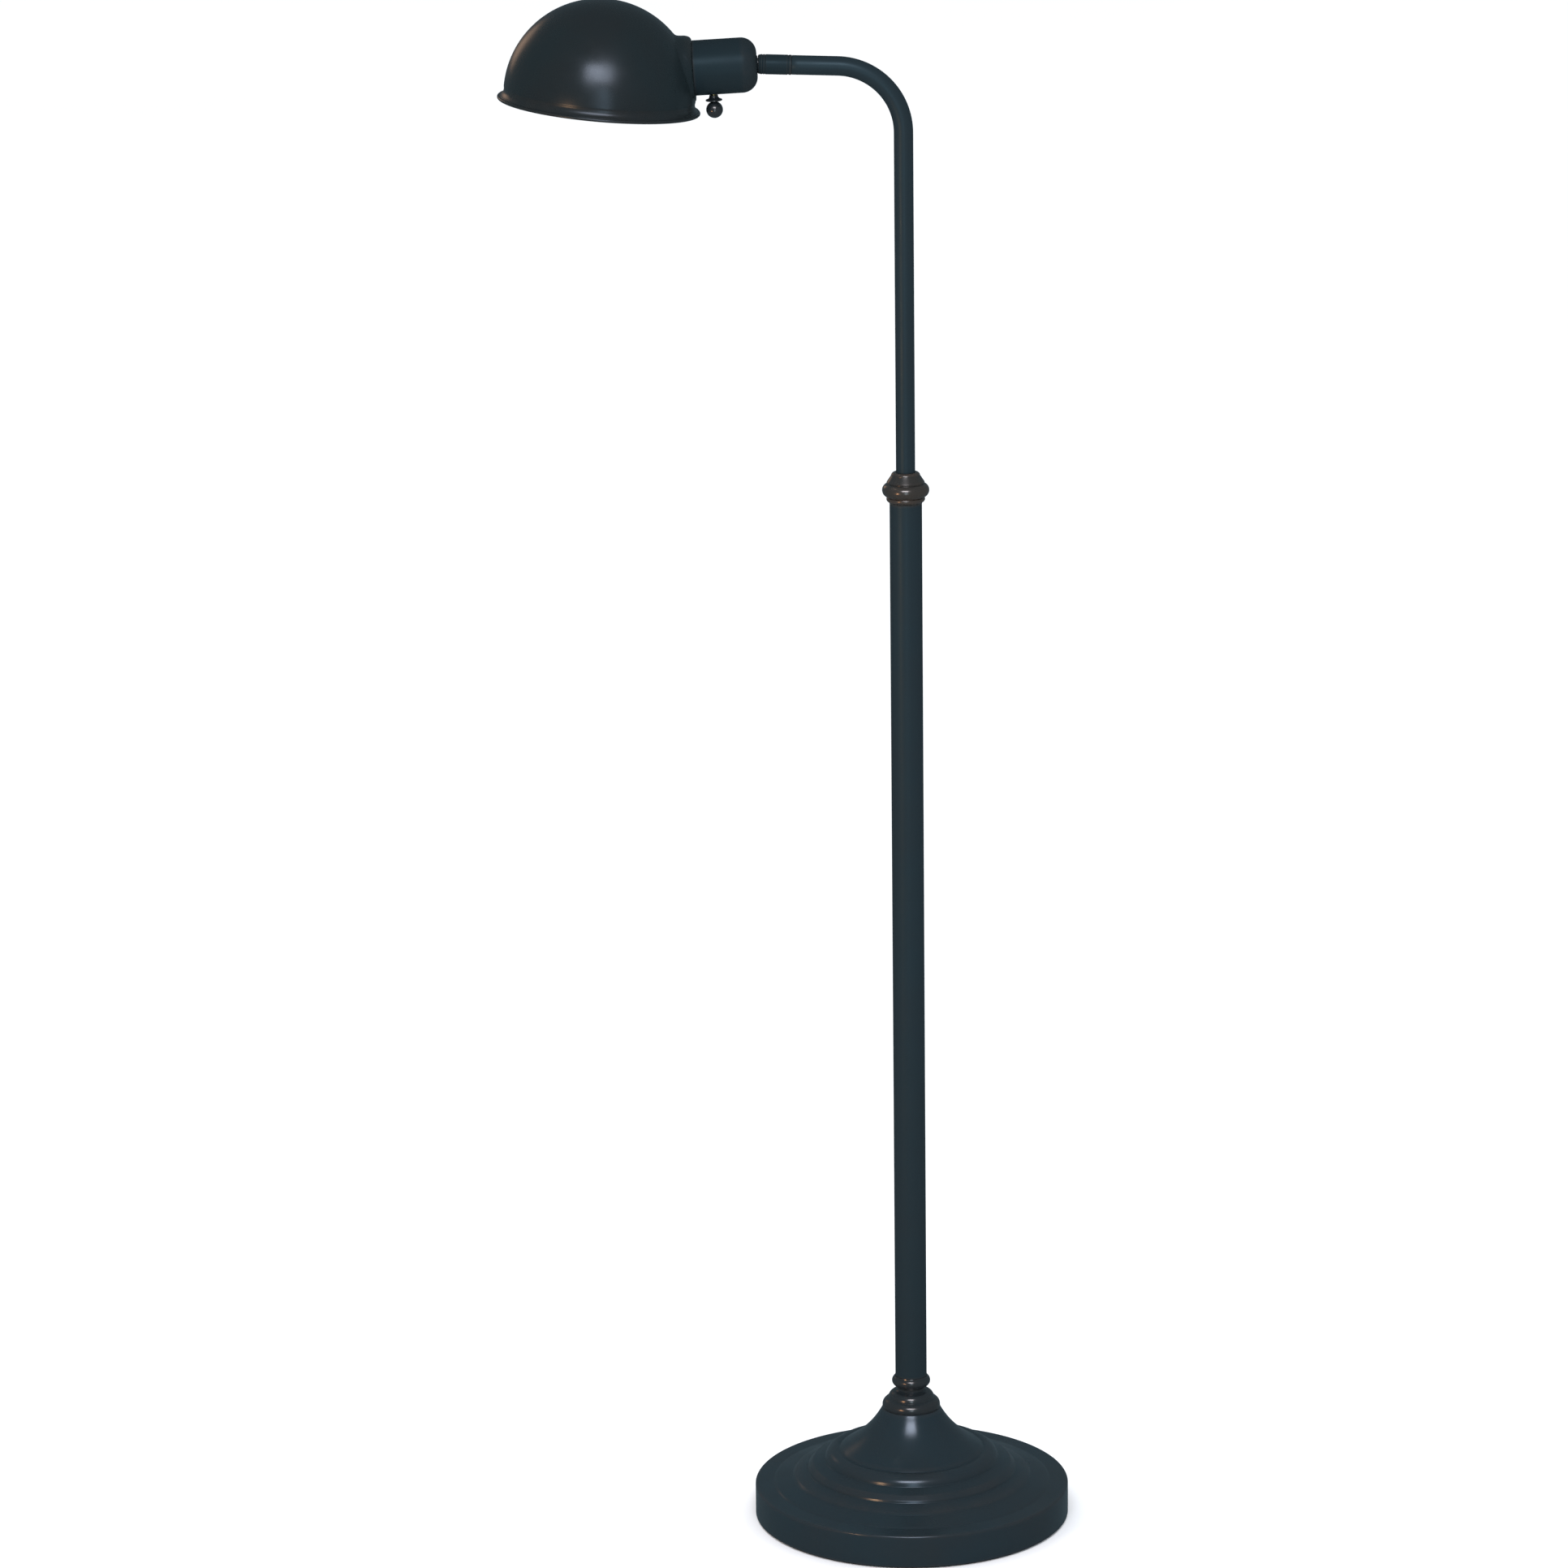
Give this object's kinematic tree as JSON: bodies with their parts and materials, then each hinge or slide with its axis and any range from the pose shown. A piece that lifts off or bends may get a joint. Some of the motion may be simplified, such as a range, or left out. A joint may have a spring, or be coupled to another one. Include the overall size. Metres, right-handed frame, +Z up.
{
  "type": "pharmacy floor lamp",
  "caption": "Pharmacy floor lamp with a round weighted base, a telescoping pole with a clamp collar, a bent arm and a half-dome metal shade on a swivel.",
  "frame": {"origin": "on the floor under the centre of the round base, in the felt's lower face", "axes": "+Z up along the pole, -X along the arm towards the shade, +Y towards the back"},
  "size_m": [0.4394, 0.2556, 1.2368],
  "materials": {
    "bronze_base": "semi-gloss oil-rubbed bronze",
    "bronze_tube": "semi-gloss oil-rubbed bronze",
    "bronze_shade": "semi-gloss oil-rubbed bronze, white inside the shade",
    "bronze_turned": "semi-gloss oil-rubbed bronze, copper where it is rubbed",
    "cast_weight": "rough cast",
    "felt": "pressed felt",
    "black_rubber": "matte",
    "zinc_steel": "zinc plated",
    "brass": "plain",
    "nylon": "natural",
    "phenolic": "moulded",
    "aluminium_cap": "plain",
    "frosted_glass": "inside frosted"
  },
  "bodies": {
    "base": {"base_felt": "felt", "base_weight": "cast_weight", "base_shell": "bronze_base", "cord_grommet": "black_rubber", "base_washer": "zinc_steel", "base_nut": "zinc_steel", "base_nipple": "zinc_steel", "neck_seat": "bronze_turned", "foot_ring": "bronze_turned", "tube_coupler": "zinc_steel", "lower_tube": "bronze_tube", "clamp_ferrule": "bronze_turned", "guide_bush": "nylon", "compression_ring": "nylon"},
    "clamp_collar": {"clamp_collar": "bronze_turned"},
    "height_slider": {"glide_ring": "nylon"},
    "upper_pole": {"upper_tube": "bronze_tube", "retaining_clip": "zinc_steel", "tube_end_plug": "nylon", "arm_insert": "brass", "swivel_spindle": "brass"},
    "head": {"swivel_barrel": "bronze_turned", "stop_pin": "zinc_steel", "friction_washer": "zinc_steel", "head_nipple": "zinc_steel", "lock_washer": "zinc_steel", "cup_nut": "zinc_steel", "socket_cup": "bronze_shade", "socket_cap": "phenolic", "socket_body": "phenolic", "centre_contact": "brass", "screw_shell": "brass", "shade": "bronze_shade", "shade_ring": "phenolic", "bulb_cap": "aluminium_cap", "bulb_glass": "frosted_glass"},
    "switch_knob": {"switch_knob": "bronze_turned", "switch_shaft": "brass", "switch_rotor": "phenolic"}
  },
  "joints": [
    {"name": "collar_turn", "type": "hinge", "parent": "base", "child": "clamp_collar", "pos_m": [0, 0, 0.85], "axis": [0, 0, 1], "range_deg": [0, 270]},
    {"name": "height_slide", "type": "slide", "parent": "base", "child": "height_slider", "axis": [0, 0, 1], "range_m": [-0.265, 0.078]},
    {"name": "pole_turn", "type": "hinge", "parent": "height_slider", "child": "upper_pole", "pos_m": [0, 0, 0.74], "axis": [0, 0, 1], "range_deg": [-180, 180]},
    {"name": "head_swivel", "type": "hinge", "parent": "upper_pole", "child": "head", "pos_m": [-0.0856, 0, 1.18464], "axis": [-0.9994, 0, 0.0344], "range_deg": [-165, 165]},
    {"name": "switch_turn", "type": "hinge", "parent": "head", "child": "switch_knob", "pos_m": [-0.14694, 0, 1.18371], "axis": [0.0523, 0, -0.9986], "continuous": true}
  ]
}
